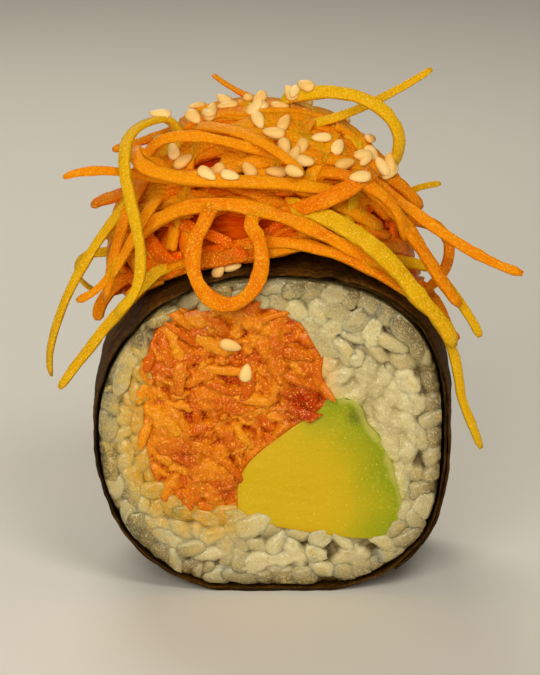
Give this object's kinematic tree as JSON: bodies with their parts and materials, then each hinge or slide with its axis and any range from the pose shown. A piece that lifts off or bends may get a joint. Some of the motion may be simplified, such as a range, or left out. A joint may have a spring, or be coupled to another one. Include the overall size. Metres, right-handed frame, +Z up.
{
  "type": "sushi roll",
  "caption": "Thick slice of sushi roll in seaweed with rice, avocado, cream cheese and chopped spicy filling at its cut faces, under a heap of shredded carrot and sesame.",
  "frame": {"origin": "middle of the flat strip of wrapper that the roll rests on", "axes": "+Z up; X across the roll, to the right as shown; Y along the roll, with the shown cut face at -Y"},
  "size_m": [0.0664, 0.0314, 0.0717],
  "materials": {
    "nori": "dark brown-green seaweed sheet, dull with a faint sheen",
    "rice": "moist translucent cooked grains",
    "filling": "moist orange chopped strips",
    "avocado": "smooth soft flesh, yellow turning green at the right rim",
    "cream_cheese": "soft pale cream",
    "carrot": "moist shredded carrot with pale toasted seeds"
  },
  "bodies": {
    "root": {"nori_wrap": "nori", "rice": "rice", "spicy_filling": "filling", "avocado": "avocado", "cream_cheese": "cream_cheese", "carrot_heap": "carrot"}
  },
  "joints": []
}
